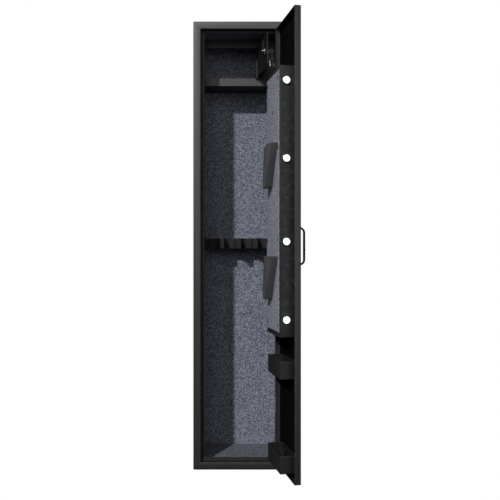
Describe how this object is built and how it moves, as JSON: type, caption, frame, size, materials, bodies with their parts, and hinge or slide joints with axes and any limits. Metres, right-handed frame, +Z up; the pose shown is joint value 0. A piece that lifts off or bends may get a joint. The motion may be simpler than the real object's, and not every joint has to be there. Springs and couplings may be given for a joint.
{
  "type": "gun safe",
  "caption": "Tall narrow steel gun safe: hinged door with sliding bolts, carpeted inside, barrel rest, lockable top compartment.",
  "frame": {"origin": "centre of the base, on the floor", "axes": "+Z up, -Y the door side, +X the hinge side"},
  "size_m": [0.3603, 0.5156, 1.5],
  "materials": {
    "powder_coat": "black fine-texture powder coat, satin",
    "carpet": "blue-grey speckled needle-felt carpet",
    "foam": "dark closed-cell foam",
    "moulded_pouch": "smooth dark grey moulded pouch",
    "chrome": "polished chrome",
    "zinc_plate": "bright zinc plate",
    "nylon": "black nylon",
    "rubber": "black rubber"
  },
  "bodies": {
    "cabinet": {"side_panel_left": "powder_coat", "side_panel_right": "powder_coat", "back_panel": "powder_coat", "top_panel": "powder_coat", "bottom_panel": "powder_coat", "anchor_plug_left": "rubber", "anchor_plug_right": "rubber", "frame_stile_left": "powder_coat", "frame_stile_right": "powder_coat", "frame_rail_bottom": "powder_coat", "frame_rail_top": "powder_coat", "lining_back": "carpet", "lining_left": "carpet", "lining_right": "carpet", "lining_ceiling": "carpet", "lining_floor": "carpet", "top_shelf": "powder_coat", "shelf_board": "carpet", "inner_fascia": "powder_coat", "barrel_rest": "foam", "hinge_knuckle_fixed_1": "powder_coat", "hinge_knuckle_fixed_2": "powder_coat", "hinge_knuckle_fixed_3": "powder_coat", "inner_pin_bottom": "zinc_plate", "inner_pin_top": "zinc_plate"},
    "main_door": {"door_skin": "powder_coat", "door_hardplate": "powder_coat", "bolt_box": "powder_coat", "door_carpet_panel": "carpet", "bolt_guide_lower": "zinc_plate", "bolt_guide_upper": "zinc_plate", "hinge_knuckle_door_1": "powder_coat", "hinge_knuckle_door_2": "powder_coat", "hinge_knuckle_door_3": "powder_coat", "handle_rose": "chrome", "spindle_bush": "nylon", "lock_escutcheon": "chrome", "lock_case": "zinc_plate", "holster_lower": "moulded_pouch", "holster_upper": "moulded_pouch", "tray_lower": "powder_coat", "tray_upper": "powder_coat"},
    "handle": {"handle": "chrome", "crank_spindle": "zinc_plate"},
    "boltwork": {"bolt_carrier": "zinc_plate", "bolt_1": "chrome", "bolt_2": "chrome", "bolt_3": "chrome", "bolt_4": "chrome"},
    "lock_plug": {"lock_plug": "zinc_plate"},
    "lock_tongue": {"lock_tongue": "zinc_plate"},
    "keyhole_cover": {"keyhole_cover": "chrome"},
    "inner_door": {"inner_door": "powder_coat", "inner_lock_body": "chrome", "inner_lock_nut": "chrome"},
    "inner_key": {"inner_lock_plug": "chrome", "inner_lock_cam": "zinc_plate", "inner_key": "chrome"},
    "key_ring": {"key_ring": "chrome", "spare_key": "chrome"}
  },
  "joints": [
    {"name": "door_swing", "type": "hinge", "parent": "cabinet", "child": "main_door", "pos_m": [0.1345, -0.127, 0.75], "axis": [0, 0, 1], "range_deg": [-101.5, 2.5]},
    {"name": "inner_door_swing", "type": "hinge", "parent": "cabinet", "child": "inner_door", "pos_m": [0.065, -0.0075, 1.3945], "axis": [0, 0, 1], "range_deg": [-100.1, 2.6]},
    {"name": "handle_turn", "type": "hinge", "parent": "main_door", "child": "handle", "pos_m": [0.18251, -0.32286, 0.747], "axis": [0.9799, 0.1994, 0], "range_deg": [0, 90.1]},
    {"name": "bolts_slide", "type": "slide", "parent": "main_door", "child": "boltwork", "axis": [0.1994, -0.9799, 0], "range_m": [0, 0.022]},
    {"name": "lock_plug_turn", "type": "hinge", "parent": "main_door", "child": "lock_plug", "pos_m": [0.18251, -0.32286, 0.85], "axis": [0.9799, 0.1994, 0], "range_deg": [0, 90]},
    {"name": "lock_tongue_slide", "type": "slide", "parent": "main_door", "child": "lock_tongue", "axis": [0, 0, 1], "range_m": [0, 0.0101]},
    {"name": "keyhole_cover_swing", "type": "hinge", "parent": "main_door", "child": "keyhole_cover", "pos_m": [0.18614, -0.32212, 0.865], "axis": [0.9799, 0.1994, 0], "range_deg": [-120, 120]},
    {"name": "inner_key_turn", "type": "hinge", "parent": "inner_door", "child": "inner_key", "pos_m": [0.10846, -0.15895, 1.393], "axis": [0.9848, 0.1736, 0], "range_deg": [0, 90]},
    {"name": "key_ring_swing", "type": "hinge", "parent": "inner_key", "child": "key_ring", "pos_m": [0.10846, -0.15895, 1.388], "axis": [-0.1736, 0.9848, 0], "range_deg": [-13, 9]}
  ],
  "couplings": [
    {"joint": "inner_door_swing", "follows": "door_swing", "ratio": 0.98522},
    {"joint": "handle_turn", "follows": "bolts_slide", "rad_per_m": 71.4},
    {"joint": "lock_tongue_slide", "follows": "lock_plug_turn", "m_per_rad": 0.0063662}
  ]
}
